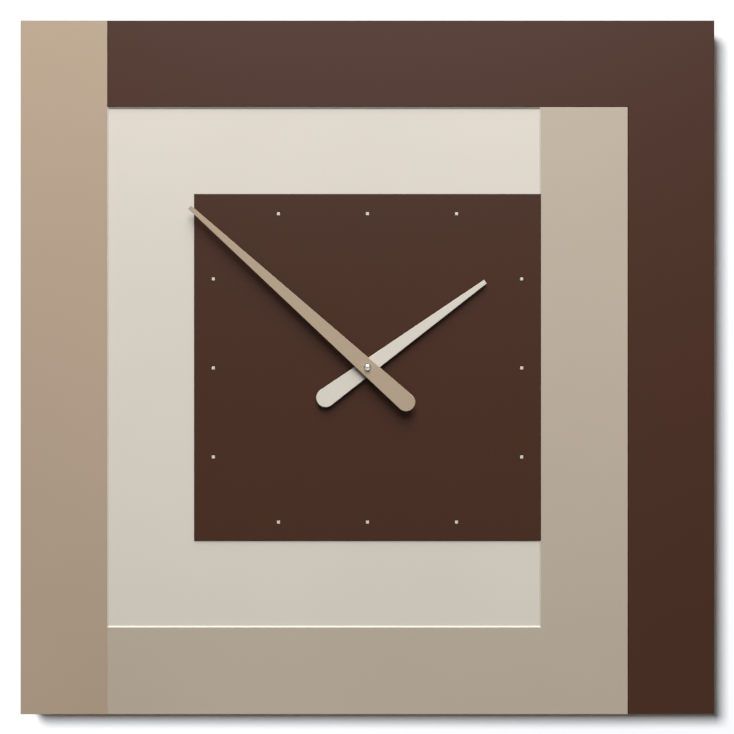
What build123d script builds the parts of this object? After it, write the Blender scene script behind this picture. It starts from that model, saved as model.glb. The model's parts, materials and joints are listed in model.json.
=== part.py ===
"""Square panelled wall clock with a quartz movement.

Millimetres. X to the right, Z up, and the front faces -Y. The origin is where the hands'
axis meets the wall, so a depth in this file is a distance from the wall, the plane y = -depth.
"""

import os
from math import cos, radians, sin, tan, tau

from build123d import *

# ---------------------------------------------------------------- board and panels
CLOCK_SIDE = 450.0
UNIT = CLOCK_SIDE / 8  # the front is laid out on a grid of 8 x 8 squares
FRAME_THICK, BOARD_THICK, PANEL_THICK = 14.0, 8.0, 6.0
BOARD_BACK = FRAME_THICK
BOARD_FRONT = BOARD_BACK + BOARD_THICK
DIAL_FRONT = BOARD_FRONT + PANEL_THICK
ARRIS = 0.4  # the softened edge of the board, the frame, the case and the bushing
DARK_ARRIS, PALE_ARRIS = 0.5, 0.15  # the softened edge round a panel's face
RECESS, RIM_LAND = 0.9, 0.1  # how far the cream ground lies back, and the flat top of its sloping rim

MARKER_REACH, MARKER_SIDE, MARKER_PROUD, MARKER_GAP = 100.0, 2.0, 0.2, 0.2
MARKER_DROP = 0.5  # the square of markers sits this much below the hands' axis

# ---------------------------------------------------------------- rear frame and its screws
FRAME_SIDE, FRAME_RAIL = 380.0, 30.0
RAIL_CENTRE = (FRAME_SIDE - FRAME_RAIL) / 2
FRAME_SCREW_R, FRAME_HEAD_R, FRAME_HEAD = 1.75, 3.4, 2.0
FRAME_SCREW_END = BOARD_BACK + 5.5

HANGER_WIDTH, HANGER_HEIGHT, HANGER_THICK = 46.0, 20.0, 1.5
HANGER_ENTRY_R, HANGER_SLOT_R = 4.5, 2.3
HANGER_ENTRY_Z, HANGER_SEAT_Z = RAIL_CENTRE - 3.5, RAIL_CENTRE + 5.5
HANGER_POCKET_WIDTH, HANGER_POCKET_HEIGHT, HANGER_POCKET_END = 15.0, 19.0, 10.0
HANGER_SCREW_X, HANGER_SCREW_R, HANGER_HEAD_R, HANGER_HEAD = 17.5, 1.5, 2.7, 1.2
HANGER_SCREW_END = 12.0

# ---------------------------------------------------------------- hands
HAND_THICK, TAIL_REACH, HAND_ARRIS = 1.2, 33.4, 0.15
HOUR_REACH, HOUR_TAIL_R, HOUR_TIP = 94.2, 6.1, 2.9
MINUTE_REACH, MINUTE_TAIL_R, MINUTE_TIP = 154.2, 5.95, 2.75
HOUR_ANGLE, MINUTE_ANGLE = 54.0, 312.0  # clockwise from twelve
HOUR_BACK, MINUTE_BACK = DIAL_FRONT + 2.6, DIAL_FRONT + 6.2
BUSH_R, BUSH_FLANGE_R, BUSH_FLANGE = 3.5, 4.4, 0.6
HAND_FRONT = MINUTE_BACK + HAND_THICK
CAP_R, CAP_SIDE, CAP_DOME = 2.0, 0.8, 1.2

# ---------------------------------------------------------------- movement case
CASE_SIDE, CASE_WALL, CASE_CORNER_R = 56.0, 1.0, 2.0
CASE_BACK, CASE_SPLIT = 2.7, 17.2
CASE_FRONT = CASE_SPLIT + CASE_WALL
CASE_IN = CASE_SIDE / 2 - CASE_WALL
INSIDE_BACK = CASE_BACK + CASE_WALL
POCKET_SIDE, POCKET_FLOOR = 62.0, CASE_FRONT + 0.8
BAY_TOP = -12.0
BAY_MIDDLE = (BAY_TOP - CASE_IN) / 2
STEM_R, STEM_HOLE_R, STEM_END = 4.0, 4.2, DIAL_FRONT + 2.2
STEM_FLANGE_R, STEM_FLANGE = 5.5, 0.5
KNOB_RING_R, RING_WIDTH, MARK_HEIGHT = 7.4, 0.8, 0.3
POLARITY_X, POLARITY_Z, POLARITY_SIDE, POLARITY_LINE = 22.0, BAY_TOP + 4.0, 4.0, 0.9
FINGER_NOTCH_R = 7.0
TONGUE_WIDTH, TONGUE_THICK, TONGUE_BACK, CATCH = 6.0, 0.8, CASE_SPLIT - 4.5, 0.6
WINDOW_WIDTH, WINDOW_FRONT = 5.0, CASE_SPLIT - 2.0
GASKET_SIDE, WASHER_R, WASHER_THICK = 30.0, 6.0, 0.4
NUT_FLATS, NUT_THICK = 10.5, 1.6

BATTERY_R, BATTERY_LENGTH, BATTERY_DEPTH = 7.15, 49.5, 9.6
BATTERY_NUB_R, BATTERY_NUB, SLEEVE_THICK = 2.6, 1.0, 0.15
BATTERY_LEFT = -BATTERY_LENGTH / 2 - 0.3
BATTERY_RIGHT = BATTERY_LEFT + BATTERY_LENGTH
STRIP_THICK, STRIP_WIDTH, STRIP_HEIGHT, TAB_SIDE = 0.3, 8.0, 12.0, 5.0

# ---------------------------------------------------------------- arbors and gears
RUNNING = 0.05  # radial clearance of every running fit
ARBOR_R, MINUTE_TUBE_R, HOUR_PIPE_R, KNOB_SHAFT_R, KNOB_SPIGOT_R = 0.5, 1.5, 2.5, 1.5, 1.0
ARBOR_START, ARBOR_END = CASE_BACK + 0.6, CASE_SPLIT + 0.4
PIVOT_PLAY = 0.2
BOSS_R, BOSS, FRONT_BOSS = 1.3, 0.6, 0.4
WHEEL_THICK, PINION_THICK = 1.0, 1.4
TRAIN_CENTRES, ROTOR_CENTRES = 9.0, 7.5
CANNON_TEETH, MOTION_TEETH, SETTING_TEETH = 12, 36, 18
SETTING_CENTRES = TRAIN_CENTRES * (MOTION_TEETH + SETTING_TEETH) / (MOTION_TEETH + CANNON_TEETH)

# a tooth's height and depth in modules, and its width on the pitch circle as a share of the pitch
WHEEL_TOOTH = (0.9, 1.1, 0.42)
PINION_TOOTH = (0.6, 1.25, 0.36)
TOOTH_TIP = 0.4  # a tooth's width at the tip, as a share of its width on the pitch circle

# depth of each wheel's back face
MAGNET_AT, ROTOR_PINION_AT, INTERMEDIATE_AT, INTERMEDIATE_PINION_AT = 4.7, 6.6, 6.8, 8.4
SECONDS_AT, SECONDS_PINION_AT, THIRD_AT, THIRD_PINION_AT, CENTRE_AT = 8.6, 10.1, 10.3, 11.9, 12.2
MINUTE_TUBE_AT, CANNON_AT, MOTION_AT, MOTION_PINION_AT, HOUR_WHEEL_AT = 11.8, 13.7, 13.9, 15.1, 15.3
MINUTE_TUBE_END = HAND_FRONT + CAP_SIDE
HOUR_PIPE_END = HOUR_BACK + HAND_THICK + BUSH_FLANGE + 0.6
SECONDS_SHAFT_END = MINUTE_BACK + 0.8

# ---------------------------------------------------------------- motor and electronics
MAGNET_R, MAGNET_THICK = 2.7, 1.8
STATOR_AT, STATOR_THICK, STATOR_HOLE_R, STATOR_ARM = 5.2, 1.0, 3.0, 4.0
STATOR_LEFT, STATOR_RIGHT, STATOR_BOTTOM, STATOR_TOP = -6.0, 24.6, 10.2, 16.9
CORE_AT = STATOR_AT + STATOR_THICK
CORE_MIDDLE = CORE_AT + STATOR_THICK / 2
COIL_Z, COIL_LEFT, COIL_RIGHT, CORE_HEIGHT = 22.3, -1.0, 19.6, 3.0
COIL_FLANGE_R, COIL_WIRE_R, COIL_TUBE_R, COIL_FLANGE = 2.6, 2.3, 1.9, 0.4
CIRCUIT_AT, CIRCUIT_THICK, CIRCUIT_WIDTH, CIRCUIT_HEIGHT = 4.7, 1.0, 18.0, 13.5
CIRCUIT_X, CIRCUIT_Z = -17.0, 18.75
CIRCUIT_FACE = CIRCUIT_AT + CIRCUIT_THICK
CRYSTAL_R, CRYSTAL_LENGTH, CHIP_R, CHIP_THICK = 1.0, 6.0, 2.6, 1.2

KNOB_R, KNOB_AT, KNOB_THICK, KNOB_NOTCHES, KNOB_NOTCH_R = 6.0, 1.0, 1.4, 30, 0.3
KNOB_BOSS = 1.5


# ================================================================ helpers
def layer(depth):
    """The sketch plane at a depth from the wall, looking out of the clock's front."""
    return Plane.XZ.offset(depth)


def away(start, angle, distance):
    """The point at a distance from start, at an angle in degrees from +X towards +Z."""
    return (start[0] + distance * cos(radians(angle)), start[1] + distance * sin(radians(angle)))


def disc(radius, start, end, at=(0, 0), mode=Mode.ADD):
    """Adds or cuts a round plug between two depths, in the part being built."""
    with BuildSketch(layer(start)) as profile:
        with Locations(at):
            Circle(radius)
    extrude(profile.sketch, amount=end - start, mode=mode)


def block(width, height, start, end, at=(0, 0), mode=Mode.ADD):
    """Adds or cuts a rectangular block between two depths, in the part being built."""
    with BuildSketch(layer(start)) as profile:
        with Locations(at):
            Rectangle(width, height)
    extrude(profile.sketch, amount=end - start, mode=mode)


def edges_at(piece, depth):
    """The edges of a part that lie wholly in the plane at a depth."""
    return piece.edges().filter_by_position(Axis.Y, -depth - 0.001, -depth + 0.001)


def countersunk_holes(places, shank_r, head_r, head, end):
    """Cuts countersunk screw holes from the back, in the part being built."""
    for place in places:
        disc(shank_r, 0, end, at=place, mode=Mode.SUBTRACT)
        with BuildSketch(layer(0)) as mouth:
            with Locations(place):
                Circle(head_r)
        with BuildSketch(layer(head)) as throat:
            with Locations(place):
                Circle(shank_r)
        loft([mouth.sketch, throat.sketch], mode=Mode.SUBTRACT)


def wood_screws(places, shank_r, head_r, head, end):
    """Adds cross-head wood screws, driven in from the back, to the part being built."""
    outline = [(0, 0), (head_r, 0), (shank_r, -head), (shank_r, 2 * shank_r - end), (0, -end)]
    for place in places:
        with BuildSketch(Plane((place[0], 0, place[1]), x_dir=(1, 0, 0), z_dir=(0, 0, 1))) as profile:
            with BuildLine():
                Polyline(*outline, close=True)
            make_face()
        revolve(profile.sketch, axis=Axis((place[0], 0, place[1]), (0, 1, 0)))
    with BuildSketch(layer(0)) as recess:
        with Locations(*places):
            Rectangle(head_r * 1.1, head_r / 4)
            Rectangle(head_r / 4, head_r * 1.1)
    extrude(recess.sketch, amount=head * 0.7, mode=Mode.SUBTRACT)


def gear(teeth, module, tooth, start, thick, at, first):
    """Adds a toothed disc, its first tooth at an angle in degrees, to the part being built."""
    height, depth, share = tooth
    pitch_r = teeth * module / 2
    half = share * tau / teeth / 2
    flanks = [
        (pitch_r - depth * module, -half),
        (pitch_r, -half),
        (pitch_r + height * module, -half * TOOTH_TIP),
        (pitch_r + height * module, half * TOOTH_TIP),
        (pitch_r, half),
        (pitch_r - depth * module, half),
    ]
    outline = []
    for number in range(teeth):
        middle = radians(first) + number * tau / teeth
        outline += [(at[0] + r * cos(middle + turn), at[1] + r * sin(middle + turn)) for r, turn in flanks]
    with BuildSketch(layer(start)) as profile:
        with BuildLine():
            Polyline(*outline, close=True)
        make_face()
    extrude(profile.sketch, amount=thick)


def module_of(centres, teeth, other_teeth):
    """The module of two gears at a centre distance."""
    return 2 * centres / (teeth + other_teeth)


def gap_facing(angle, teeth):
    """The first tooth's angle on a gear with a gap, not a tooth, at an angle."""
    return angle + 180 / teeth


HANDS_AXIS = (0.0, 0.0)
THIRD_ANGLE, INTERMEDIATE_ANGLE, ROTOR_ANGLE, SETTING_ANGLE = 150.0, 60.0, 50.0, 20.0
THIRD_AXIS = away(HANDS_AXIS, THIRD_ANGLE, TRAIN_CENTRES)
INTERMEDIATE_AXIS = away(HANDS_AXIS, INTERMEDIATE_ANGLE, TRAIN_CENTRES)
MOTION_AXIS = away(HANDS_AXIS, 0, TRAIN_CENTRES)
ROTOR_AXIS = away(INTERMEDIATE_AXIS, ROTOR_ANGLE, ROTOR_CENTRES)
SETTING_AXIS = away(MOTION_AXIS, SETTING_ANGLE, SETTING_CENTRES)


# ================================================================ front panels
def grid_panel(corners):
    """Adds a panel with its outline through points of the grid, counted from the top left."""
    with BuildSketch(layer(BOARD_FRONT)) as profile:
        with BuildLine():
            Polyline(*[((column - 4) * UNIT, (4 - row) * UNIT) for column, row in corners], close=True)
        make_face()
    extrude(profile.sketch, amount=PANEL_THICK)


def grid_rectangle(left, top, right, bottom, depth, margin=0.0):
    """The rectangle between two columns and two rows of the grid at a depth, less a margin."""
    with BuildSketch(layer(depth)) as profile:
        with Locations((((left + right) / 2 - 4) * UNIT, (4 - (top + bottom) / 2) * UNIT)):
            Rectangle((right - left) * UNIT - 2 * margin, (bottom - top) * UNIT - 2 * margin)
    return profile.sketch


with BuildPart() as left_strip:
    grid_panel([(0, 0), (1, 0), (1, 8), (0, 8)])
    chamfer(edges_at(left_strip, DIAL_FRONT), PALE_ARRIS)

with BuildPart() as outer_corner_panel:
    grid_panel([(1, 0), (8, 0), (8, 8), (7, 8), (7, 1), (1, 1)])
    chamfer(edges_at(outer_corner_panel, DIAL_FRONT), DARK_ARRIS)

with BuildPart() as inner_corner_panel:
    grid_panel([(6, 1), (7, 1), (7, 8), (1, 8), (1, 7), (6, 7)])
    chamfer(edges_at(inner_corner_panel, DIAL_FRONT), PALE_ARRIS)

# the ground is milled down inside a sloping rim, and the dial goes right through it
with BuildPart() as ground_panel:
    grid_panel([(1, 1), (6, 1), (6, 7), (1, 7)])
    floor_outline = grid_rectangle(1, 1, 6, 7, DIAL_FRONT - RECESS, RIM_LAND + RECESS)
    mouth_outline = grid_rectangle(1, 1, 6, 7, DIAL_FRONT, RIM_LAND)
    loft([floor_outline, mouth_outline], mode=Mode.SUBTRACT)
    extrude(grid_rectangle(2, 2, 6, 6, BOARD_FRONT), amount=PANEL_THICK, mode=Mode.SUBTRACT)

# three markers a side, where the lines of the hours cross the square
MARKER_STEP = MARKER_REACH * tan(radians(30))
side_markers = [(side * MARKER_REACH, step * MARKER_STEP) for side in (-1, 1) for step in (-1, 0, 1)]
marker_square = side_markers + [(z, x) for x, z in side_markers]
marker_places = [(x, z - MARKER_DROP) for x, z in marker_square]

with BuildPart() as dial_panel:
    grid_panel([(2, 2), (6, 2), (6, 6), (2, 6)])
    chamfer(edges_at(dial_panel, DIAL_FRONT), DARK_ARRIS)
    disc(STEM_HOLE_R, BOARD_FRONT, DIAL_FRONT, mode=Mode.SUBTRACT)
    with BuildSketch(layer(BOARD_FRONT)):
        with Locations(*marker_places):
            Rectangle(MARKER_SIDE + 2 * MARKER_GAP, MARKER_SIDE + 2 * MARKER_GAP)
    extrude(amount=PANEL_THICK, mode=Mode.SUBTRACT)

with BuildPart() as hour_markers:
    with BuildSketch(layer(BOARD_FRONT)):
        with Locations(*marker_places):
            Rectangle(MARKER_SIDE, MARKER_SIDE)
    extrude(amount=PANEL_THICK + MARKER_PROUD)
    chamfer(edges_at(hour_markers, DIAL_FRONT + MARKER_PROUD), MARKER_PROUD)

# ================================================================ base board, rear frame, hanger
rail_lines = (-RAIL_CENTRE, RAIL_CENTRE)
frame_screw_places = [(x, z) for x in rail_lines for z in (-RAIL_CENTRE, 0, RAIL_CENTRE)]
frame_screw_places += [(x / 2, z) for x in rail_lines for z in rail_lines]
hanger_screw_places = [(-HANGER_SCREW_X, RAIL_CENTRE), (HANGER_SCREW_X, RAIL_CENTRE)]

with BuildPart() as base_board:
    block(CLOCK_SIDE, CLOCK_SIDE, BOARD_BACK, BOARD_FRONT)
    chamfer(edges_at(base_board, BOARD_BACK), ARRIS)
    block(POCKET_SIDE, POCKET_SIDE, BOARD_BACK, POCKET_FLOOR, mode=Mode.SUBTRACT)
    disc(STEM_HOLE_R, BOARD_BACK, BOARD_FRONT, mode=Mode.SUBTRACT)
    with BuildSketch(layer(BOARD_BACK)):
        with Locations(*frame_screw_places):
            Circle(FRAME_SCREW_R)
    extrude(amount=FRAME_SCREW_END - BOARD_BACK, mode=Mode.SUBTRACT)

with BuildPart() as rear_frame:
    block(FRAME_SIDE, FRAME_SIDE, 0, FRAME_THICK)
    block(FRAME_SIDE - 2 * FRAME_RAIL, FRAME_SIDE - 2 * FRAME_RAIL, 0, FRAME_THICK, mode=Mode.SUBTRACT)
    chamfer(edges_at(rear_frame, 0), ARRIS)
    block(HANGER_WIDTH, HANGER_HEIGHT, 0, HANGER_THICK, at=(0, RAIL_CENTRE), mode=Mode.SUBTRACT)
    with BuildSketch(layer(0)):
        with Locations((0, RAIL_CENTRE)):
            RectangleRounded(HANGER_POCKET_WIDTH, HANGER_POCKET_HEIGHT, HANGER_ENTRY_R)
    extrude(amount=HANGER_POCKET_END, mode=Mode.SUBTRACT)
    for hole in hanger_screw_places:
        disc(HANGER_SCREW_R, 0, HANGER_SCREW_END, at=hole, mode=Mode.SUBTRACT)
    countersunk_holes(frame_screw_places, FRAME_SCREW_R, FRAME_HEAD_R, FRAME_HEAD, FRAME_THICK)

with BuildPart() as frame_screws:
    wood_screws(frame_screw_places, FRAME_SCREW_R, FRAME_HEAD_R, FRAME_HEAD, FRAME_SCREW_END)

with BuildPart() as hanger_plate:
    block(HANGER_WIDTH, HANGER_HEIGHT, 0, HANGER_THICK, at=(0, RAIL_CENTRE))
    disc(HANGER_ENTRY_R, 0, HANGER_THICK, at=(0, HANGER_ENTRY_Z), mode=Mode.SUBTRACT)
    disc(HANGER_SLOT_R, 0, HANGER_THICK, at=(0, HANGER_SEAT_Z), mode=Mode.SUBTRACT)
    slot_length = HANGER_SEAT_Z - HANGER_ENTRY_Z
    slot_middle = (0, (HANGER_ENTRY_Z + HANGER_SEAT_Z) / 2)
    block(2 * HANGER_SLOT_R, slot_length, 0, HANGER_THICK, at=slot_middle, mode=Mode.SUBTRACT)
    countersunk_holes(hanger_screw_places, HANGER_SCREW_R, HANGER_HEAD_R, HANGER_HEAD, HANGER_THICK)

with BuildPart() as hanger_screws:
    wood_screws(hanger_screw_places, HANGER_SCREW_R, HANGER_HEAD_R, HANGER_HEAD, HANGER_SCREW_END)


# ================================================================ hands
def hand_blank(reach, tail_r, tip, back, clock_angle):
    """Adds a flat hand with a round tail, tapering to a square tip at a clock angle."""
    pointing = (sin(radians(clock_angle)), 0, cos(radians(clock_angle)))
    with BuildSketch(Plane((0, -back, 0), x_dir=pointing, z_dir=(0, -1, 0))) as profile:
        with BuildLine():
            Polyline((-TAIL_REACH, tail_r), (reach, tip / 2), (reach, -tip / 2), (-TAIL_REACH, -tail_r))
            ThreePointArc((-TAIL_REACH, -tail_r), (-TAIL_REACH - tail_r, 0), (-TAIL_REACH, tail_r))
        make_face()
    extrude(profile.sketch, amount=HAND_THICK)


with BuildPart() as hour_hand:
    hand_blank(HOUR_REACH, HOUR_TAIL_R, HOUR_TIP, HOUR_BACK, HOUR_ANGLE)
    chamfer(edges_at(hour_hand, HOUR_BACK + HAND_THICK), HAND_ARRIS)
    disc(BUSH_R, HOUR_BACK, HOUR_BACK + HAND_THICK, mode=Mode.SUBTRACT)

with BuildPart() as hour_hand_bush:
    disc(BUSH_R, HOUR_BACK, HOUR_BACK + HAND_THICK)
    disc(BUSH_FLANGE_R, HOUR_BACK + HAND_THICK, HOUR_BACK + HAND_THICK + BUSH_FLANGE)
    disc(HOUR_PIPE_R, HOUR_BACK, HOUR_BACK + HAND_THICK + BUSH_FLANGE, mode=Mode.SUBTRACT)

with BuildPart() as minute_hand:
    hand_blank(MINUTE_REACH, MINUTE_TAIL_R, MINUTE_TIP, MINUTE_BACK, MINUTE_ANGLE)
    chamfer(edges_at(minute_hand, HAND_FRONT), HAND_ARRIS)
    disc(HOUR_PIPE_R, MINUTE_BACK, HAND_FRONT, mode=Mode.SUBTRACT)

with BuildPart() as minute_hand_bush:
    disc(BUSH_FLANGE_R, MINUTE_BACK - BUSH_FLANGE, MINUTE_BACK)
    disc(HOUR_PIPE_R, MINUTE_BACK, HAND_FRONT)
    disc(MINUTE_TUBE_R, MINUTE_BACK - BUSH_FLANGE, HAND_FRONT, mode=Mode.SUBTRACT)

with BuildPart() as hand_cap:
    with BuildSketch(Plane.XY):
        with BuildLine():
            Polyline((0, -MINUTE_TUBE_END), (0, -HAND_FRONT), (CAP_R, -HAND_FRONT), (CAP_R, -MINUTE_TUBE_END))
            Spline(
                (CAP_R, -MINUTE_TUBE_END),
                (0, -MINUTE_TUBE_END - CAP_DOME),
                tangents=[(0, -1), (-1, 0)],
            )
            Line((0, -MINUTE_TUBE_END - CAP_DOME), (0, -MINUTE_TUBE_END))
        make_face()
    revolve(axis=Axis.Y)
    disc(MINUTE_TUBE_R, HAND_FRONT, MINUTE_TUBE_END, mode=Mode.SUBTRACT)

# ================================================================ movement case
train_axes = [THIRD_AXIS, INTERMEDIATE_AXIS, ROTOR_AXIS, MOTION_AXIS]
stator_pegs = [(STATOR_LEFT + 2, STATOR_BOTTOM + 2), (STATOR_RIGHT - 2, STATOR_BOTTOM + 2)]
circuit_pegs = [(CIRCUIT_X - 6, CIRCUIT_Z - 4), (CIRCUIT_X + 6, CIRCUIT_Z - 4)]
ROOM_FLOOR = BAY_TOP + CASE_WALL
ROOM_MIDDLE = (CASE_IN + ROOM_FLOOR) / 2
# middle of each catch on the case's outer wall, and whether that wall runs along X
tongue_places = [(-CASE_IN, 9.0, False), (CASE_IN, 13.0, False)]
tongue_places += [(-11.0, CASE_IN, True), (11.0, CASE_IN, True)]

with BuildPart() as rear_case:
    with BuildSketch(layer(CASE_BACK)):
        RectangleRounded(CASE_SIDE, CASE_SIDE, CASE_CORNER_R)
    extrude(amount=CASE_SPLIT - CASE_BACK)
    chamfer(edges_at(rear_case, CASE_BACK), ARRIS)
    block(2 * CASE_IN, CASE_IN - ROOM_FLOOR, INSIDE_BACK, CASE_SPLIT, (0, ROOM_MIDDLE), Mode.SUBTRACT)
    block(2 * CASE_IN, BAY_TOP + CASE_IN, CASE_BACK, CASE_SPLIT, (0, BAY_MIDDLE), Mode.SUBTRACT)
    for axis in [HANDS_AXIS, *train_axes]:
        disc(BOSS_R, INSIDE_BACK, INSIDE_BACK + BOSS, at=axis)
        disc(ARBOR_R + RUNNING, ARBOR_START - PIVOT_PLAY, INSIDE_BACK + BOSS, at=axis, mode=Mode.SUBTRACT)
    for peg in stator_pegs:
        disc(BOSS_R, INSIDE_BACK, STATOR_AT, at=peg)
    for peg in circuit_pegs:
        disc(BOSS_R, INSIDE_BACK, CIRCUIT_AT, at=peg)
    disc(KNOB_SHAFT_R + CASE_WALL, INSIDE_BACK, INSIDE_BACK + KNOB_BOSS, at=SETTING_AXIS)
    disc(KNOB_SHAFT_R + RUNNING, CASE_BACK, INSIDE_BACK + KNOB_BOSS, at=SETTING_AXIS, mode=Mode.SUBTRACT)
    # a raised ring round the knob, and the signs of the cell's two ends
    with BuildSketch(layer(CASE_BACK - MARK_HEIGHT)):
        with Locations(SETTING_AXIS):
            Circle(KNOB_RING_R)
            Circle(KNOB_RING_R - RING_WIDTH, mode=Mode.SUBTRACT)
        with Locations((-POLARITY_X, POLARITY_Z), (POLARITY_X, POLARITY_Z)):
            Rectangle(POLARITY_SIDE, POLARITY_LINE)
        with Locations((POLARITY_X, POLARITY_Z)):
            Rectangle(POLARITY_LINE, POLARITY_SIDE)
    extrude(amount=MARK_HEIGHT)
    # a notch for a finger behind the cell, and the windows that the front case's catches snap into
    with BuildSketch(Plane.XY.offset(-CASE_SIDE / 2)):
        with Locations((0, -CASE_BACK)):
            Circle(FINGER_NOTCH_R)
    extrude(amount=CASE_WALL, mode=Mode.SUBTRACT)
    window_middle = (TONGUE_BACK + WINDOW_FRONT) / 2
    for x, z, along in tongue_places:
        width, height = (WINDOW_WIDTH, 3 * CASE_WALL) if along else (3 * CASE_WALL, WINDOW_WIDTH)
        block(width, height, TONGUE_BACK, WINDOW_FRONT, at=(x, z), mode=Mode.SUBTRACT)

with BuildPart() as front_case:
    with BuildSketch(layer(CASE_SPLIT)):
        RectangleRounded(CASE_SIDE, CASE_SIDE, CASE_CORNER_R)
    extrude(amount=CASE_WALL)
    chamfer(edges_at(front_case, CASE_FRONT), ARRIS)
    disc(STEM_R, CASE_SPLIT, CASE_FRONT, mode=Mode.SUBTRACT)
    boss_backs = [(axis, CASE_SPLIT - FRONT_BOSS) for axis in train_axes]
    boss_backs.append((SETTING_AXIS, CANNON_AT + PINION_THICK + PIVOT_PLAY))
    for axis, boss_back in boss_backs:
        disc(BOSS_R, boss_back, CASE_SPLIT, at=axis)
        disc(ARBOR_R + RUNNING, boss_back, ARBOR_END + PIVOT_PLAY, at=axis, mode=Mode.SUBTRACT)
    for x, z, along in tongue_places:
        side = 1 if x + z > 0 else -1
        inner = -side * TONGUE_THICK / 2
        outer = side * CATCH / 2
        if along:
            block(TONGUE_WIDTH, TONGUE_THICK, TONGUE_BACK, CASE_SPLIT, at=(x, z + inner))
            block(WINDOW_WIDTH - 0.6, CATCH, TONGUE_BACK + 0.3, WINDOW_FRONT - 0.3, at=(x, z + outer))
        else:
            block(TONGUE_THICK, TONGUE_WIDTH, TONGUE_BACK, CASE_SPLIT, at=(x + inner, z))
            block(CATCH, WINDOW_WIDTH - 0.6, TONGUE_BACK + 0.3, WINDOW_FRONT - 0.3, at=(x + outer, z))

with BuildPart() as threaded_bushing:
    disc(STEM_FLANGE_R, CASE_SPLIT - STEM_FLANGE, CASE_SPLIT)
    disc(STEM_R, CASE_SPLIT, STEM_END)
    chamfer(edges_at(threaded_bushing, STEM_END), ARRIS)
    disc(HOUR_PIPE_R + RUNNING, CASE_SPLIT - STEM_FLANGE, STEM_END, mode=Mode.SUBTRACT)

with BuildPart() as rubber_gasket:
    with BuildSketch(layer(CASE_FRONT)):
        RectangleRounded(GASKET_SIDE, GASKET_SIDE, CASE_CORNER_R)
        Circle(STEM_R, mode=Mode.SUBTRACT)
    extrude(amount=POCKET_FLOOR - CASE_FRONT)

with BuildPart() as stem_washer:
    disc(WASHER_R, DIAL_FRONT, DIAL_FRONT + WASHER_THICK)
    disc(STEM_R, DIAL_FRONT, DIAL_FRONT + WASHER_THICK, mode=Mode.SUBTRACT)

with BuildPart() as fixing_nut:
    with BuildSketch(layer(DIAL_FRONT + WASHER_THICK)):
        RegularPolygon(NUT_FLATS / 2, 6, major_radius=False)
        Circle(STEM_R, mode=Mode.SUBTRACT)
    extrude(amount=NUT_THICK)

# ================================================================ motor and electronics
stator_height = COIL_Z + CORE_HEIGHT / 2 - STATOR_BOTTOM
STATOR_MIDDLE = (STATOR_LEFT + STATOR_RIGHT) / 2

with BuildPart() as stator_plate:
    with BuildSketch(layer(STATOR_AT)):
        with Locations((STATOR_MIDDLE, (STATOR_BOTTOM + STATOR_TOP) / 2)):
            Rectangle(STATOR_RIGHT - STATOR_LEFT, STATOR_TOP - STATOR_BOTTOM)
        arm_z = STATOR_BOTTOM + stator_height / 2
        with Locations((STATOR_LEFT + STATOR_ARM / 2, arm_z), (STATOR_RIGHT - STATOR_ARM / 2, arm_z)):
            Rectangle(STATOR_ARM, stator_height)
        with Locations(ROTOR_AXIS):
            Circle(STATOR_HOLE_R, mode=Mode.SUBTRACT)
    extrude(amount=STATOR_THICK)

with BuildPart() as coil_core:
    core_length = STATOR_RIGHT - STATOR_LEFT
    block(core_length, CORE_HEIGHT, CORE_AT, CORE_AT + STATOR_THICK, at=(STATOR_MIDDLE, COIL_Z))


def along_x(radius, left, right, depth, z, mode=Mode.ADD):
    """Adds or cuts a round bar that lies along X, in the part being built."""
    with BuildSketch(Plane.YZ.offset(left)) as profile:
        with Locations((-depth, z)):
            Circle(radius)
    extrude(profile.sketch, amount=right - left, mode=mode)


with BuildPart() as coil_bobbin:
    along_x(COIL_TUBE_R, COIL_LEFT, COIL_RIGHT, CORE_MIDDLE, COIL_Z)
    along_x(COIL_FLANGE_R, COIL_LEFT, COIL_LEFT + COIL_FLANGE, CORE_MIDDLE, COIL_Z)
    along_x(COIL_FLANGE_R, COIL_RIGHT - COIL_FLANGE, COIL_RIGHT, CORE_MIDDLE, COIL_Z)
    block(core_length, CORE_HEIGHT, CORE_AT, CORE_AT + STATOR_THICK, (STATOR_MIDDLE, COIL_Z), Mode.SUBTRACT)

with BuildPart() as coil_winding:
    along_x(COIL_WIRE_R, COIL_LEFT + COIL_FLANGE, COIL_RIGHT - COIL_FLANGE, CORE_MIDDLE, COIL_Z)
    along_x(COIL_TUBE_R, COIL_LEFT, COIL_RIGHT, CORE_MIDDLE, COIL_Z, Mode.SUBTRACT)

with BuildPart() as circuit_board:
    block(CIRCUIT_WIDTH, CIRCUIT_HEIGHT, CIRCUIT_AT, CIRCUIT_FACE, at=(CIRCUIT_X, CIRCUIT_Z))

with BuildPart() as quartz_crystal:
    crystal_left = CIRCUIT_X - CRYSTAL_LENGTH
    along_x(CRYSTAL_R, crystal_left, CIRCUIT_X, CIRCUIT_FACE + CRYSTAL_R, CIRCUIT_Z + 4)

with BuildPart() as control_chip:
    disc(CHIP_R, CIRCUIT_FACE, CIRCUIT_FACE + CHIP_THICK, at=(CIRCUIT_X + 3, CIRCUIT_Z - 1))
    fillet(edges_at(control_chip, CIRCUIT_FACE + CHIP_THICK), CHIP_THICK * 0.7)

with BuildPart() as battery:
    along_x(BATTERY_R - SLEEVE_THICK, BATTERY_LEFT, BATTERY_RIGHT, BATTERY_DEPTH, BAY_MIDDLE)
    along_x(BATTERY_NUB_R, BATTERY_RIGHT, BATTERY_RIGHT + BATTERY_NUB, BATTERY_DEPTH, BAY_MIDDLE)

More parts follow.
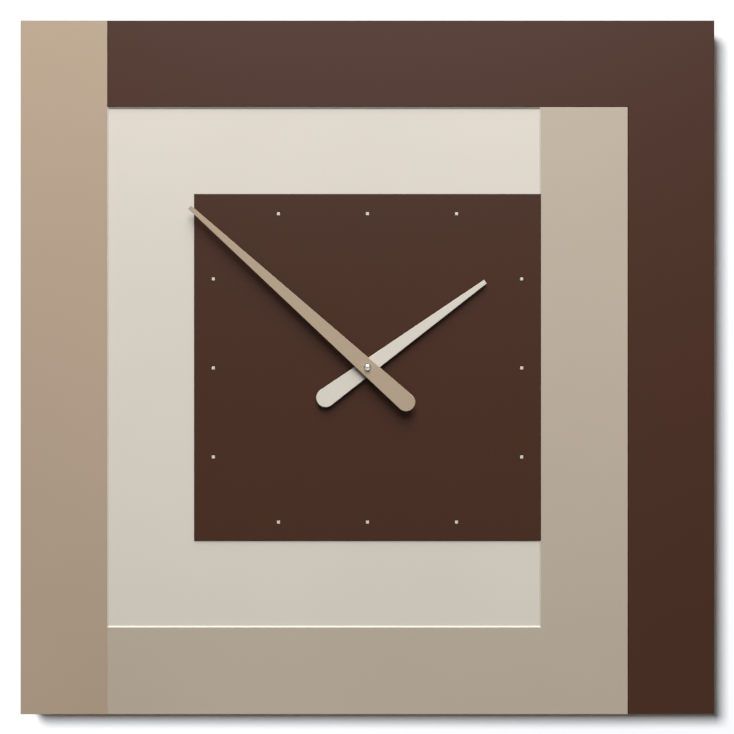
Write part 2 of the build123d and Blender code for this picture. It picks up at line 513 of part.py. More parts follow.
with BuildPart() as battery_sleeve:
    along_x(BATTERY_R, BATTERY_LEFT, BATTERY_RIGHT, BATTERY_DEPTH, BAY_MIDDLE)
    sleeve_in = BATTERY_R - SLEEVE_THICK
    along_x(sleeve_in, BATTERY_LEFT, BATTERY_RIGHT, BATTERY_DEPTH, BAY_MIDDLE, Mode.SUBTRACT)


def contact_strip(wall_x, cell_x):
    """Adds a bent strip that stands on an end wall of the battery bay and reaches to the cell."""
    inward = 1 if cell_x > wall_x else -1
    back, front = BATTERY_DEPTH - STRIP_WIDTH / 2, BATTERY_DEPTH + STRIP_WIDTH / 2
    half = inward * STRIP_THICK / 2
    block(STRIP_THICK, STRIP_HEIGHT, back, front, at=(wall_x + half, BAY_MIDDLE))
    block(STRIP_THICK, TAB_SIDE, back, front, at=(cell_x - half, BAY_MIDDLE))
    block(abs(cell_x - wall_x), TAB_SIDE, front - STRIP_THICK, front, at=((wall_x + cell_x) / 2, BAY_MIDDLE))


with BuildPart() as negative_contact:
    contact_strip(-CASE_IN, BATTERY_LEFT - RUNNING)

with BuildPart() as positive_contact:
    contact_strip(CASE_IN, BATTERY_RIGHT + BATTERY_NUB + RUNNING)

# ================================================================ running train
rotor_module = module_of(ROTOR_CENTRES, 10, 50)
seconds_module = module_of(TRAIN_CENTRES, 10, 60)
third_module = module_of(TRAIN_CENTRES, 8, 60)
centre_module = module_of(TRAIN_CENTRES, 8, 64)
motion_module = module_of(TRAIN_CENTRES, CANNON_TEETH, MOTION_TEETH)
hour_module = module_of(TRAIN_CENTRES, 10, 40)

with BuildPart() as rotor_magnet:
    disc(MAGNET_R, MAGNET_AT, MAGNET_AT + MAGNET_THICK, at=ROTOR_AXIS)
    disc(ARBOR_R, MAGNET_AT, MAGNET_AT + MAGNET_THICK, at=ROTOR_AXIS, mode=Mode.SUBTRACT)

with BuildPart() as rotor_pinion:
    gear(10, rotor_module, PINION_TOOTH, ROTOR_PINION_AT, PINION_THICK, ROTOR_AXIS, ROTOR_ANGLE + 180)
    disc(ARBOR_R, ARBOR_START, ARBOR_END, at=ROTOR_AXIS)

with BuildPart() as intermediate_wheel:
    wheel_first = gap_facing(ROTOR_ANGLE, 50)
    pinion_first = INTERMEDIATE_ANGLE + 180
    axis = INTERMEDIATE_AXIS
    gear(50, rotor_module, WHEEL_TOOTH, INTERMEDIATE_AT, WHEEL_THICK, axis, wheel_first)
    gear(10, seconds_module, PINION_TOOTH, INTERMEDIATE_PINION_AT, PINION_THICK, axis, pinion_first)
    disc(ARBOR_R, ARBOR_START, ARBOR_END, at=axis)

with BuildPart() as seconds_wheel:
    wheel_first = gap_facing(INTERMEDIATE_ANGLE, 60)
    hub_end = SECONDS_PINION_AT + PINION_THICK
    gear(60, seconds_module, WHEEL_TOOTH, SECONDS_AT, WHEEL_THICK, HANDS_AXIS, wheel_first)
    gear(8, third_module, PINION_TOOTH, SECONDS_PINION_AT, PINION_THICK, HANDS_AXIS, THIRD_ANGLE)
    disc(1.2 * ARBOR_R, SECONDS_AT, hub_end)
    disc(ARBOR_R, SECONDS_AT, hub_end, mode=Mode.SUBTRACT)

with BuildPart() as seconds_shaft:
    disc(ARBOR_R, ARBOR_START, SECONDS_SHAFT_END)

with BuildPart() as third_wheel:
    wheel_first = gap_facing(THIRD_ANGLE + 180, 60)
    gear(60, third_module, WHEEL_TOOTH, THIRD_AT, WHEEL_THICK, THIRD_AXIS, wheel_first)
    gear(8, centre_module, PINION_TOOTH, THIRD_PINION_AT, PINION_THICK, THIRD_AXIS, THIRD_ANGLE + 180)
    disc(ARBOR_R, ARBOR_START, ARBOR_END, at=THIRD_AXIS)

with BuildPart() as centre_wheel:
    gear(64, centre_module, WHEEL_TOOTH, CENTRE_AT, WHEEL_THICK, HANDS_AXIS, gap_facing(THIRD_ANGLE, 64))
    disc(MINUTE_TUBE_R + RUNNING, CENTRE_AT, CENTRE_AT + WHEEL_THICK, mode=Mode.SUBTRACT)

# ================================================================ motion work and hand setting
with BuildPart() as minute_shaft:
    cannon_first = gap_facing(0, CANNON_TEETH)
    gear(CANNON_TEETH, motion_module, PINION_TOOTH, CANNON_AT, PINION_THICK, HANDS_AXIS, cannon_first)
    disc(MINUTE_TUBE_R, MINUTE_TUBE_AT, MINUTE_TUBE_END)
    disc(ARBOR_R + RUNNING, MINUTE_TUBE_AT, MINUTE_TUBE_END, mode=Mode.SUBTRACT)

with BuildPart() as motion_wheel:
    gear(MOTION_TEETH, motion_module, WHEEL_TOOTH, MOTION_AT, WHEEL_THICK, MOTION_AXIS, 0)
    gear(10, hour_module, PINION_TOOTH, MOTION_PINION_AT, PINION_THICK, MOTION_AXIS, 180)
    disc(ARBOR_R, ARBOR_START, ARBOR_END, at=MOTION_AXIS)

with BuildPart() as hour_wheel:
    gear(40, hour_module, WHEEL_TOOTH, HOUR_WHEEL_AT, WHEEL_THICK, HANDS_AXIS, gap_facing(0, 40))
    disc(HOUR_PIPE_R, HOUR_WHEEL_AT, HOUR_PIPE_END)
    disc(MINUTE_TUBE_R + RUNNING, HOUR_WHEEL_AT, HOUR_PIPE_END, mode=Mode.SUBTRACT)

with BuildPart() as setting_pinion:
    pinion_first = gap_facing(SETTING_ANGLE + 180, SETTING_TEETH)
    gear(SETTING_TEETH, motion_module, PINION_TOOTH, CANNON_AT, PINION_THICK, SETTING_AXIS, pinion_first)
    disc(KNOB_SPIGOT_R, CANNON_AT, CANNON_AT + PINION_THICK, at=SETTING_AXIS, mode=Mode.SUBTRACT)

with BuildPart() as setting_knob:
    with BuildSketch(layer(KNOB_AT)):
        with Locations(SETTING_AXIS):
            Circle(KNOB_R)
            with PolarLocations(KNOB_R, KNOB_NOTCHES):
                Circle(KNOB_NOTCH_R, mode=Mode.SUBTRACT)
    extrude(amount=KNOB_THICK)
    disc(KNOB_SHAFT_R, KNOB_AT + KNOB_THICK, CANNON_AT, at=SETTING_AXIS)
    disc(KNOB_SPIGOT_R, CANNON_AT, CANNON_AT + PINION_THICK, at=SETTING_AXIS)
    disc(ARBOR_R, CANNON_AT + PINION_THICK, ARBOR_END, at=SETTING_AXIS)

# ================================================================ a STEP file for each piece
pieces = {
    "base_board": base_board,
    "left_strip": left_strip,
    "outer_corner_panel": outer_corner_panel,
    "inner_corner_panel": inner_corner_panel,
    "ground_panel": ground_panel,
    "dial_panel": dial_panel,
    "hour_markers": hour_markers,
    "rear_frame": rear_frame,
    "frame_screws": frame_screws,
    "hanger_plate": hanger_plate,
    "hanger_screws": hanger_screws,
    "hour_hand": hour_hand,
    "hour_hand_bush": hour_hand_bush,
    "minute_hand": minute_hand,
    "minute_hand_bush": minute_hand_bush,
    "hand_cap": hand_cap,
    "rear_case": rear_case,
    "front_case": front_case,
    "threaded_bushing": threaded_bushing,
    "rubber_gasket": rubber_gasket,
    "stem_washer": stem_washer,
    "fixing_nut": fixing_nut,
    "stator_plate": stator_plate,
    "coil_core": coil_core,
    "coil_bobbin": coil_bobbin,
    "coil_winding": coil_winding,
    "circuit_board": circuit_board,
    "quartz_crystal": quartz_crystal,
    "control_chip": control_chip,
    "battery": battery,
    "battery_sleeve": battery_sleeve,
    "negative_contact": negative_contact,
    "positive_contact": positive_contact,
    "rotor_magnet": rotor_magnet,
    "rotor_pinion": rotor_pinion,
    "intermediate_wheel": intermediate_wheel,
    "seconds_wheel": seconds_wheel,
    "seconds_shaft": seconds_shaft,
    "third_wheel": third_wheel,
    "centre_wheel": centre_wheel,
    "minute_shaft": minute_shaft,
    "motion_wheel": motion_wheel,
    "hour_wheel": hour_wheel,
    "setting_pinion": setting_pinion,
    "setting_knob": setting_knob,
}
os.makedirs("parts", exist_ok=True)
for name, piece in pieces.items():
    piece.part.label = name
    export_step(piece.part, f"parts/{name}.step")
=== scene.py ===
"""Looks of the square panelled wall clock: materials, small details, studio and camera.

Metres, in the CAD frame: the wall is the plane y = 0, the dial faces -Y, and the origin is
where the hands' axis meets the wall.
"""

import json
from math import pi

import bpy
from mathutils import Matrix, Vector


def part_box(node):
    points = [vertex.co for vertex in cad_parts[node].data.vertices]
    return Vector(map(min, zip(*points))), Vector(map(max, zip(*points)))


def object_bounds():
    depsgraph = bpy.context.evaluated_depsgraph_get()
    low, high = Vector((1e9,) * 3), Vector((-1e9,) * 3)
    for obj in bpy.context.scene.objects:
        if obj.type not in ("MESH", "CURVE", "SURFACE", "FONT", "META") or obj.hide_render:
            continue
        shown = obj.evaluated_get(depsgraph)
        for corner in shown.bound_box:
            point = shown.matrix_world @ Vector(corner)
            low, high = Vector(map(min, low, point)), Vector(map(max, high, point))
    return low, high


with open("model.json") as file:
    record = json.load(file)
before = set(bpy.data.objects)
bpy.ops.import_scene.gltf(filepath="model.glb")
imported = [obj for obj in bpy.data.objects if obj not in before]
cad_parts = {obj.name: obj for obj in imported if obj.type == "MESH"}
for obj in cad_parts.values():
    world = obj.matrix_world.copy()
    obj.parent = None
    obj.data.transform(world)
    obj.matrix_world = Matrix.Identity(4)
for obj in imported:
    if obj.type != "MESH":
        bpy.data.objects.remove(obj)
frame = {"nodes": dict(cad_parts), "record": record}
cad_low, cad_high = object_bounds()
nodes = frame["nodes"]
scene = bpy.context.scene
scene.view_settings.view_transform = "Standard"

# ---------------------------------------------------------------- places read from the frame
front_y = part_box("dial_panel")[0].y
cell_low, cell_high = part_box("battery_sleeve")

# ---------------------------------------------------------------- camera
CAMERA_DISTANCE = 1.04  # from the dial's face
VIEW_WIDTH = 0.4760  # what the view takes in at the dial's face
SENSOR = 36.0
SHIFT = (-0.00066, 0.00045)  # in widths of the view

camera = bpy.data.objects.new("camera", bpy.data.cameras.new("camera"))
scene.collection.objects.link(camera)
camera.location = (0, front_y - CAMERA_DISTANCE, 0)
camera.rotation_euler = (pi / 2, 0, 0)
camera.data.sensor_width = SENSOR
camera.data.lens = SENSOR * CAMERA_DISTANCE / VIEW_WIDTH
camera.data.shift_x, camera.data.shift_y = SHIFT
camera.data.clip_start = 0.01
scene.camera = camera


# ---------------------------------------------------------------- shader helpers
NOISE_LOW, NOISE_HIGH = 0.3, 0.7  # nearly all of a noise value falls between these


def wire(tree, socket, value):
    """Links a socket to another node's output, or sets its constant."""
    if isinstance(value, bpy.types.NodeSocket):
        tree.links.new(value, socket)
    else:
        socket.default_value = value


def node(tree, kind, inputs, **settings):
    """Adds a node with its settings and its inputs, given by name or number."""
    made = tree.nodes.new(kind)
    for key, value in settings.items():
        setattr(made, key, value)
    for key, value in inputs.items():
        wire(tree, made.inputs[key], value)
    return made


def maths(tree, operation, a, b=0.0):
    """The output of a Math node."""
    return node(tree, "ShaderNodeMath", {0: a, 1: b}, operation=operation).outputs[0]


def mix(tree, factor, a, b, blend="MIX"):
    """Two colours mixed by a factor, or blended in another way."""
    made = node(tree, "ShaderNodeMix", {0: factor, 6: a, 7: b}, data_type="RGBA", blend_type=blend)
    return made.outputs[2]


def ramp(tree, value, low, high, to_low=0.0, to_high=1.0):
    """A smooth step of a value from low to high, as to_low to to_high."""
    inputs = {"Value": value, "From Min": low, "From Max": high, "To Min": to_low, "To Max": to_high}
    return node(tree, "ShaderNodeMapRange", inputs, interpolation_type="SMOOTHSTEP").outputs[0]


def place(tree):
    """The shaded point in the row frame, in metres."""
    return tree.nodes.new("ShaderNodeTexCoord").outputs["Object"]


def facing(tree):
    """How far the surface faces the wall, from -1 on the front to 1 on the back."""
    normal = tree.nodes.new("ShaderNodeNewGeometry").outputs["Normal"]
    return node(tree, "ShaderNodeSeparateXYZ", {0: normal}).outputs[1]


def stretch(tree, vector, scale):
    """A vector scaled by axis."""
    return node(tree, "ShaderNodeMapping", {"Vector": vector, "Scale": scale}).outputs[0]


def noise(tree, vector, scale, detail=2.0, roughness=0.5):
    """A noise value round 0.5. The scale is in features to the metre."""
    inputs = {"Vector": vector, "Scale": scale, "Detail": detail, "Roughness": roughness}
    return node(tree, "ShaderNodeTexNoise", inputs).outputs["Fac"]


def spread(tree, value, low, high):
    """A noise value spread over the range from low to high."""
    return ramp(tree, value, NOISE_LOW, NOISE_HIGH, low, high)


def shade(tree, colour, value, low, high):
    """A colour multiplied by a factor that a noise value spreads from low to high."""
    factor = spread(tree, value, low, high)
    grey = node(tree, "ShaderNodeCombineColor", {0: factor, 1: factor, 2: factor}).outputs[0]
    return mix(tree, 1.0, colour, grey, "MULTIPLY")


def bump(tree, height, depth, normal=None):
    """A bump of a height from 0 to 1, with its depth in metres."""
    inputs = {"Height": height, "Distance": depth, "Strength": 1.0}
    if normal is not None:
        inputs["Normal"] = normal
    return node(tree, "ShaderNodeBump", inputs).outputs[0]


def material(name):
    """A new material's node tree and its Principled shader."""
    made = bpy.data.materials.new(name)
    made.use_nodes = True
    tree = made.node_tree
    return made, tree, tree.nodes["Principled BSDF"]


def rgba(colour):
    """A colour with its alpha."""
    return (*colour, 1.0)


# ---------------------------------------------------------------- materials
LACQUER_ROUGHNESS, LACQUER_SPECULAR = 0.47, 0.23
GLOSS_SPREAD, TEXTURE_SPREAD = 0.03, 0.06  # how far the roughness of lacquer and of plastic wanders
# in features to the metre: lacquer's slow drift in tone, its orange peel and its gloss, and paint's grain
DRIFT, PEEL, GLOSS, GRAIN = 7.0, 420.0, 900.0, 2600.0
EDGE_TILT, FLAT_TILT = 0.75, 0.995  # how far a surface faces the front, on a softened edge and on the flat
PEEL_DEPTH, FIBRE_DEPTH, GRAIN_DEPTH, SLEEVE_DEPTH = 4e-6, 2e-5, 3e-5, 8e-6
ALONG_X, ALONG_Y, ALONG_Z = (0.06, 1.0, 1.0), (1.0, 0.06, 1.0), (1.0, 1.0, 0.06)  # metal's fine marks
BARE_FIBRE = (0.33, 0.22, 0.13)
LATE_WOOD = (0.72, 0.62, 0.52)  # late wood's share of the wood's colour
SEAM, SEAM_CORE, SEAM_FADE = (0.05, 0.03, 0.02), 0.00008, 0.00035  # the line at a mitre
# painted shade in the grooves between a coil's turns
SHADE_BETWEEN_TURNS = (0.03, 0.01, 0.005)
SLEEVE_FIELD, SLEEVE_BAND, SLEEVE_LINE = (0.012, 0.05, 0.075), (0.55, 0.30, 0.08), (0.75, 0.75, 0.72)
BAND_SHARE, LINE_HALF = 0.27, 0.0005


def drifting(tree, colour):
    """A lacquer's colour, with its slow drift in tone."""
    return shade(tree, rgba(colour), noise(tree, place(tree), DRIFT, 3.0), 0.985, 1.015)


def orange_peel(tree):
    """The normal of a sprayed surface."""
    return bump(tree, noise(tree, place(tree), PEEL, 2.0), PEEL_DEPTH)


def sprayed(name, colour, roughness=LACQUER_ROUGHNESS, edge=1.0, grain=0.0):
    """Satin spray lacquer, its softened edges and side faces darkened by a factor as painted shade, and fine
    grain in a hand's paint.
    """
    made, tree, shader = material(name)
    at = place(tree)
    fine = noise(tree, at, GLOSS, 3.0)
    toned = drifting(tree, colour)
    toned = shade(tree, toned, noise(tree, at, GRAIN, 2.0), 1.0 - grain, 1.0 + grain)
    # painted shade: edges and side faces turn darker by the edge factor, standing in for the shade along a
    # panel's edges
    on_edge = ramp(tree, maths(tree, "ABSOLUTE", facing(tree)), EDGE_TILT, FLAT_TILT, 1.0, 0.0)
    edge_shade_colour = rgba([channel * edge for channel in colour])
    wire(tree, shader.inputs["Base Color"], mix(tree, on_edge, toned, edge_shade_colour))
    rough = spread(tree, fine, roughness - GLOSS_SPREAD, roughness + GLOSS_SPREAD)
    wire(tree, shader.inputs["Roughness"], rough)
    wire(tree, shader.inputs["Normal"], orange_peel(tree))
    shader.inputs["Specular IOR Level"].default_value = LACQUER_SPECULAR
    return made


def board(name, colour):
    """Fibreboard: sprayed on its front and edges, bare on its back."""
    made, tree, shader = material(name)
    at = place(tree)
    bare = ramp(tree, facing(tree), 0.85, 0.95)
    fibre = noise(tree, stretch(tree, at, (1.0, 1.0, 0.45)), 1500.0, 4.0, 0.7)
    blotch = noise(tree, at, 25.0, 2.0, 0.5)
    fibreboard = shade(tree, rgba(BARE_FIBRE), fibre, 0.80, 1.15)
    fibreboard = shade(tree, fibreboard, blotch, 0.97, 1.03)
    wire(tree, shader.inputs["Base Color"], mix(tree, bare, drifting(tree, colour), fibreboard))
    wire(tree, shader.inputs["Roughness"], ramp(tree, bare, 0.0, 1.0, 0.42, 0.85))
    height = maths(tree, "MULTIPLY", fibre, bare)
    wire(tree, shader.inputs["Normal"], bump(tree, height, FIBRE_DEPTH, orange_peel(tree)))
    return made


def rail_wood(name, colour):
    """Planed pine rails mitred at the corners, with the grain along each rail."""
    made, tree, shader = material(name)
    at = place(tree)
    split = node(tree, "ShaderNodeSeparateXYZ", {0: at})
    across = maths(tree, "ABSOLUTE", split.outputs[0])
    up = maths(tree, "ABSOLUTE", split.outputs[2])
    upright = maths(tree, "GREATER_THAN", across, up)
    turned = {0: split.outputs[2], 1: split.outputs[1], 2: split.outputs[0]}
    along = mix(tree, upright, node(tree, "ShaderNodeCombineXYZ", turned).outputs[0], at)
    shifted = node(tree, "ShaderNodeVectorMath", {0: along, 1: (0.7, 0.2, 0.4)}, operation="ADD").outputs[0]
    rings = noise(tree, stretch(tree, shifted, (1.0, 1.0, 0.05)), 260.0, 3.0, 0.6)
    fibres = noise(tree, stretch(tree, shifted, (1.0, 1.0, 0.02)), 2400.0, 3.0, 0.6)
    pores = noise(tree, stretch(tree, shifted, (1.0, 1.0, 0.04)), 5200.0, 1.0)
    late_wood = [channel * share for channel, share in zip(colour, LATE_WOOD)]
    toned = mix(tree, ramp(tree, rings, 0.42, 0.62), rgba(colour), rgba(late_wood))
    toned = shade(tree, toned, fibres, 0.86, 1.1)
    gap = maths(tree, "ABSOLUTE", maths(tree, "SUBTRACT", across, up))
    toned = mix(tree, ramp(tree, gap, SEAM_CORE, SEAM_FADE, 0.75, 0.0), toned, rgba(SEAM))
    wire(tree, shader.inputs["Base Color"], toned)
    wire(tree, shader.inputs["Roughness"], spread(tree, fibres, 0.52, 0.68))
    height = maths(tree, "ADD", fibres, maths(tree, "MULTIPLY", pores, 0.5))
    wire(tree, shader.inputs["Normal"], bump(tree, height, GRAIN_DEPTH))
    return made


def moulded(name, colour, roughness=0.5, spark=5e-6):
    """Injection-moulded plastic with a fine spark-eroded texture."""
    made, tree, shader = material(name)
    at = place(tree)
    spots = noise(tree, at, 3200.0, 3.0, 0.6)
    slow = noise(tree, at, 90.0, 3.0)
    wire(tree, shader.inputs["Base Color"], shade(tree, rgba(colour), slow, 0.94, 1.06))
    rough = spread(tree, slow, roughness - TEXTURE_SPREAD, roughness + TEXTURE_SPREAD)
    wire(tree, shader.inputs["Roughness"], rough)
    wire(tree, shader.inputs["Normal"], bump(tree, spots, spark))
    return made


def metal(name, colour, roughness, streak=(1.0, 1.0, 1.0), depth=2e-6, tarnish=0.08):
    """Metal with a little tarnish and fine marks, which a streak draws out along an axis."""
    made, tree, shader = material(name)
    at = place(tree)
    marks = noise(tree, stretch(tree, at, streak), 5000.0, 3.0, 0.6)
    stain = noise(tree, at, 240.0, 4.0, 0.6)
    toned = shade(tree, rgba(colour), stain, 1.0 - tarnish, 1.0 + tarnish / 2)
    wire(tree, shader.inputs["Base Color"], shade(tree, toned, marks, 0.97, 1.03))
    shader.inputs["Metallic"].default_value = 1.0
    wire(tree, shader.inputs["Roughness"], spread(tree, marks, roughness * 0.85, roughness * 1.15))
    wire(tree, shader.inputs["Normal"], bump(tree, marks, depth))
    return made


def wound(name, colour, pitch):
    """Enamelled wire wound round X, its turns a pitch apart, with painted shade in the grooves between them.
    """
    made, tree, shader = material(name)
    at = place(tree)
    split = node(tree, "ShaderNodeSeparateXYZ", {0: at})
    turns = maths(tree, "PINGPONG", maths(tree, "DIVIDE", split.outputs[0], pitch), 0.5)
    toned = shade(tree, rgba(colour), noise(tree, at, 400.0, 2.0), 0.9, 1.1)
    # painted shade: the grooves between turns are painted near-black
    between = ramp(tree, turns, 0.0, 0.2, 0.6, 0.0)
    wire(tree, shader.inputs["Base Color"], mix(tree, between, toned, rgba(SHADE_BETWEEN_TURNS)))
    shader.inputs["Metallic"].default_value = 0.9
    shader.inputs["Roughness"].default_value = 0.3
    wire(tree, shader.inputs["Normal"], bump(tree, turns, pitch / 2))
    return made


def printed_sleeve(name):
    """A cell's shrink sleeve: a plain dark field, a band at the positive end and a thin line between."""
    made, tree, shader = material(name)
    at = place(tree)
    split = node(tree, "ShaderNodeSeparateXYZ", {0: at})
    band = BAND_SHARE * (cell_high.x - cell_low.x)
    from_right = maths(tree, "SUBTRACT", cell_high.x, split.outputs[0])
    field = shade(tree, rgba(SLEEVE_FIELD), noise(tree, at, 80.0, 2.0), 0.9, 1.1)
    toned = mix(tree, maths(tree, "LESS_THAN", from_right, band), field, rgba(SLEEVE_BAND))
    line = maths(tree, "ABSOLUTE", maths(tree, "SUBTRACT", from_right, band))
    toned = mix(tree, maths(tree, "LESS_THAN", line, LINE_HALF), toned, rgba(SLEEVE_LINE))
    wire(tree, shader.inputs["Base Color"], toned)
    wire(tree, shader.inputs["Roughness"], spread(tree, noise(tree, at, 500.0, 2.0), 0.16, 0.26))
    ripple = noise(tree, stretch(tree, at, (0.2, 1.0, 1.0)), 300.0, 2.0)
    wire(tree, shader.inputs["Normal"], bump(tree, ripple, SLEEVE_DEPTH))
    shader.inputs["Coat Weight"].default_value = 0.4
    return made


TAN = (0.360, 0.272, 0.196)
CHOCOLATE = (0.0470, 0.0160, 0.0078)
DIAL_CHOCOLATE = (0.0440, 0.0148, 0.0062)
STONE = (0.394, 0.334, 0.265)
CREAM = (0.551, 0.508, 0.445)
EDGE_BROWN = (0.16, 0.115, 0.085)
MINUTE_TAN = (0.352, 0.268, 0.188)
HOUR_CREAM = (0.543, 0.500, 0.438)
MARKER_CREAM = (0.540, 0.495, 0.435)
BRASS = (0.80, 0.56, 0.24)
# the first is painted shade: the share of their colour that the dark lacquers keep on their edges and side
# faces
EDGE_SHADE, PAINT_GRAIN = 0.3, 0.035

finishes = {
    "board_lacquer": board("board_lacquer", EDGE_BROWN),
    "cream_lacquer": sprayed("cream_lacquer", CREAM),
    "tan_lacquer": sprayed("tan_lacquer", TAN),
    "chocolate_lacquer": sprayed("chocolate_lacquer", CHOCOLATE, edge=EDGE_SHADE),
    "stone_lacquer": sprayed("stone_lacquer", STONE),
    "dial_lacquer": sprayed("dial_lacquer", DIAL_CHOCOLATE, edge=EDGE_SHADE),
    "marker_cream": sprayed("marker_cream", MARKER_CREAM, roughness=0.5),
    "frame_wood": rail_wood("frame_wood", (0.60, 0.40, 0.21)),
    "zinc_screw": metal("zinc_screw", (0.72, 0.66, 0.50), 0.30, tarnish=0.2),
    "zinc_plate": metal("zinc_plate", (0.66, 0.67, 0.69), 0.32, ALONG_X, tarnish=0.12),
    "case_plastic": moulded("case_plastic", (0.018, 0.018, 0.019)),
    "knob_plastic": moulded("knob_plastic", (0.62, 0.61, 0.57), 0.42),
    "stem_brass": metal("stem_brass", BRASS, 0.24),
    "bush_brass": metal("bush_brass", BRASS, 0.28),
    "gasket_rubber": moulded("gasket_rubber", (0.02, 0.02, 0.02), 0.75, spark=1.2e-5),
    "motor_steel": metal("motor_steel", (0.60, 0.60, 0.61), 0.38, ALONG_X),
    "bobbin_plastic": moulded("bobbin_plastic", (0.55, 0.54, 0.50)),
    "copper_wire": wound("copper_wire", (0.72, 0.30, 0.12), pitch=0.00018),
    "circuit_board": moulded("circuit_board", (0.025, 0.12, 0.05), 0.35),
    "crystal_can": metal("crystal_can", (0.78, 0.78, 0.80), 0.16),
    "chip_epoxy": moulded("chip_epoxy", (0.008, 0.008, 0.008), 0.2),
    "contact_strip": metal("contact_strip", (0.75, 0.75, 0.74), 0.24, ALONG_Z),
    "minute_hand_paint": sprayed("minute_hand_paint", MINUTE_TAN, roughness=0.5, grain=PAINT_GRAIN),
    "hour_hand_paint": sprayed("hour_hand_paint", HOUR_CREAM, roughness=0.5, grain=PAINT_GRAIN),
    "cap_chrome": metal("cap_chrome", (0.80, 0.83, 0.88), 0.34, depth=2e-7, tarnish=0.02),
    "gear_plastic": moulded("gear_plastic", (0.70, 0.69, 0.62), 0.4),
    "wheel_brass": metal("wheel_brass", (0.80, 0.58, 0.26), 0.26),
    "shaft_steel": metal("shaft_steel", (0.62, 0.62, 0.64), 0.2, ALONG_Y),
    "rotor_magnet": metal("rotor_magnet", (0.16, 0.16, 0.17), 0.5),
    "cell_steel": metal("cell_steel", (0.70, 0.70, 0.71), 0.22),
    "cell_sleeve": printed_sleeve("cell_sleeve"),
}
for subpart in frame["record"]["subparts"]:
    cad_object = nodes[subpart["node"]]
    for own in cad_object.material_slots:
        own.material = finishes[subpart["material_slot"]]


# ---------------------------------------------------------------- studio
WALL_GAP = 0.0004
WALL_HALF, FLOOR_Z, FLOOR_HALF = 3.0, -1.1, 6.0
WALL_COLOUR, WALL_ROUGHNESS = (0.60, 0.615, 0.63), 0.8
FLOOR_COLOUR, FLOOR_ROUGHNESS = (0.80, 0.80, 0.80), 0.7
HORIZON, ZENITH, BACKDROP = 0.09, 0.35, 0.92  # the world's light on the clock, and what the camera sees
LOW_TINT, HIGH_TINT = (0.86, 0.90, 0.96), (0.97, 0.99, 1.0)


def stage_plane(name, corners, colour, roughness):
    """A plain stage surface through four corners."""
    data = bpy.data.meshes.new(name)
    data.from_pydata(corners, [], [(0, 1, 2, 3)])
    made, tree, shader = material(name)
    at = place(tree)
    wire(tree, shader.inputs["Base Color"], shade(tree, rgba(colour), noise(tree, at, 3.0, 2.0), 0.99, 1.01))
    shader.inputs["Roughness"].default_value = roughness
    data.materials.append(made)
    plane = bpy.data.objects.new(name, data)
    scene.collection.objects.link(plane)
    return plane, tree, shader


wall_y = cad_high.y + WALL_GAP
wall_corners = [
    (-WALL_HALF, wall_y, FLOOR_Z),
    (WALL_HALF, wall_y, FLOOR_Z),
    (WALL_HALF, wall_y, WALL_HALF),
    (-WALL_HALF, wall_y, WALL_HALF),
]
wall, wall_tree, wall_shader = stage_plane("stage_wall", wall_corners, WALL_COLOUR, WALL_ROUGHNESS)
wall.visible_shadow = False
# seen from behind, the wall isn't there, so that the clock's back shows
seen_from_behind = wall_tree.nodes.new("ShaderNodeNewGeometry").outputs["Backfacing"]
clear = node(wall_tree, "ShaderNodeBsdfTransparent", {})
both_sides = {0: seen_from_behind, 1: wall_shader.outputs[0], 2: clear.outputs[0]}
one_sided = node(wall_tree, "ShaderNodeMixShader", both_sides).outputs[0]
wire(wall_tree, wall_tree.nodes["Material Output"].inputs["Surface"], one_sided)

floor_corners = [
    (-FLOOR_HALF, -FLOOR_HALF, FLOOR_Z),
    (FLOOR_HALF, -FLOOR_HALF, FLOOR_Z),
    (FLOOR_HALF, FLOOR_HALF, FLOOR_Z),
    (-FLOOR_HALF, FLOOR_HALF, FLOOR_Z),
]
ground = stage_plane("stage_floor", floor_corners, FLOOR_COLOUR, FLOOR_ROUGHNESS)[0]
ground.visible_diffuse = False  # no glow from below in the hands' shadows


def softbox(name, stands_at, aim_at, width, height, power):
    """A white rectangular area light, aimed at a point."""
    light = bpy.data.lights.new(name, "AREA")
    light.shape = "RECTANGLE"
    light.size = width
    light.size_y = height
    light.energy = power
    made = bpy.data.objects.new(name, light)
    scene.collection.objects.link(made)
    made.location = stands_at
    made.rotation_euler = (aim_at - Vector(stands_at)).to_track_quat("-Z", "Y").to_euler()
    return made


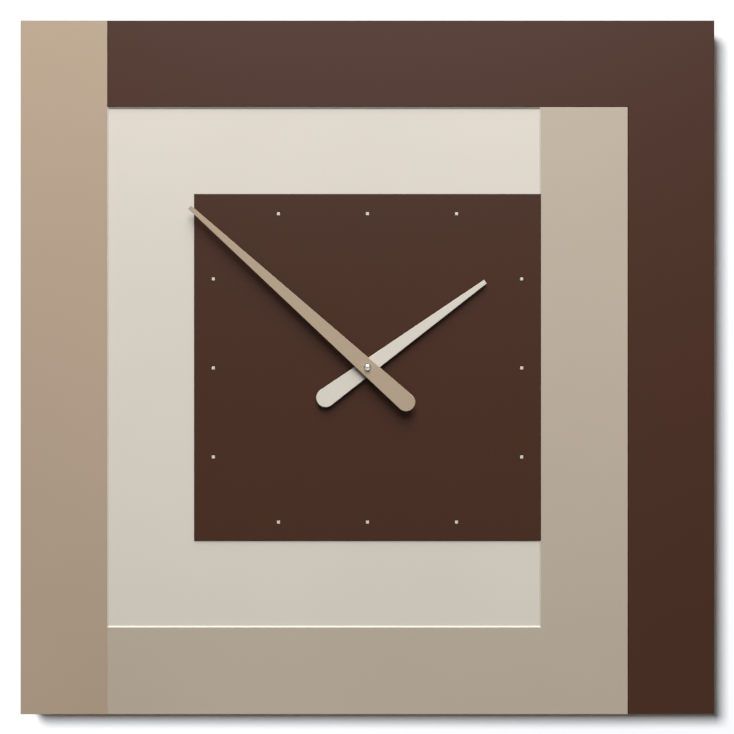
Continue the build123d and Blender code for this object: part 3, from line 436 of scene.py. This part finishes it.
dial, hanging_face = Vector((0, front_y, 0)), Vector((0, 0, 0))
key = softbox("key", (0.0, -1.75, 1.92), dial, width=1.6, height=1.85, power=110.0)
overhead = softbox("overhead", (0.0, -0.35, 1.5), dial, width=1.6, height=0.5, power=11.0)
backdrop = softbox("backdrop", (-2.2, -6.0, 2.15), dial, width=1.8, height=1.8, power=790.0)
rear_left = softbox("rear_left", (-1.0, 1.2, 0.7), hanging_face, width=1.0, height=1.0, power=22.0)
rear_right = softbox("rear_right", (1.1, 1.3, 0.5), hanging_face, width=1.0, height=1.0, power=14.0)
floor_lamp = bpy.data.objects.new("floor_lamp", bpy.data.lights.new("floor_lamp", "SUN"))
floor_lamp.data.energy = 1.9
floor_lamp.data.angle = 0.6
scene.collection.objects.link(floor_lamp)


def receivers(name, objects, state):
    """A collection that makes a light reach only these objects, or everything but them."""
    made = bpy.data.collections.new(name)
    for linked in objects:
        made.objects.link(linked)
    for entry in made.collection_objects:
        entry.light_linking.link_state = state
    return made


# the wall and the floor have lights of their own, and the wall's is far off, so that the clock's
# shadow on it is short and soft
backdrop.light_linking.receiver_collection = receivers("only_wall", [wall], "INCLUDE")
floor_lamp.light_linking.receiver_collection = receivers("only_floor", [ground], "INCLUDE")
not_stage = receivers("not_stage", [wall, ground], "EXCLUDE")
for lamp in (key, overhead, rear_left, rear_right):
    lamp.light_linking.receiver_collection = not_stage

world = bpy.data.worlds.new("studio")
world.use_nodes = True
scene.world = world
sky = world.node_tree
direction = sky.nodes.new("ShaderNodeTexCoord").outputs["Generated"]
height = node(sky, "ShaderNodeSeparateXYZ", {0: direction}).outputs[2]
glow = mix(sky, ramp(sky, height, -0.6, 0.6), rgba(LOW_TINT), rgba(HIGH_TINT))
seen = sky.nodes.new("ShaderNodeLightPath").outputs["Is Camera Ray"]
lighting = ramp(sky, height, 0.0, 0.9, HORIZON, ZENITH)
strength = node(sky, "ShaderNodeMix", {0: seen, 2: lighting, 3: BACKDROP}, data_type="FLOAT").outputs[0]
background = sky.nodes["Background"]
wire(sky, background.inputs["Color"], glow)
wire(sky, background.inputs["Strength"], strength)
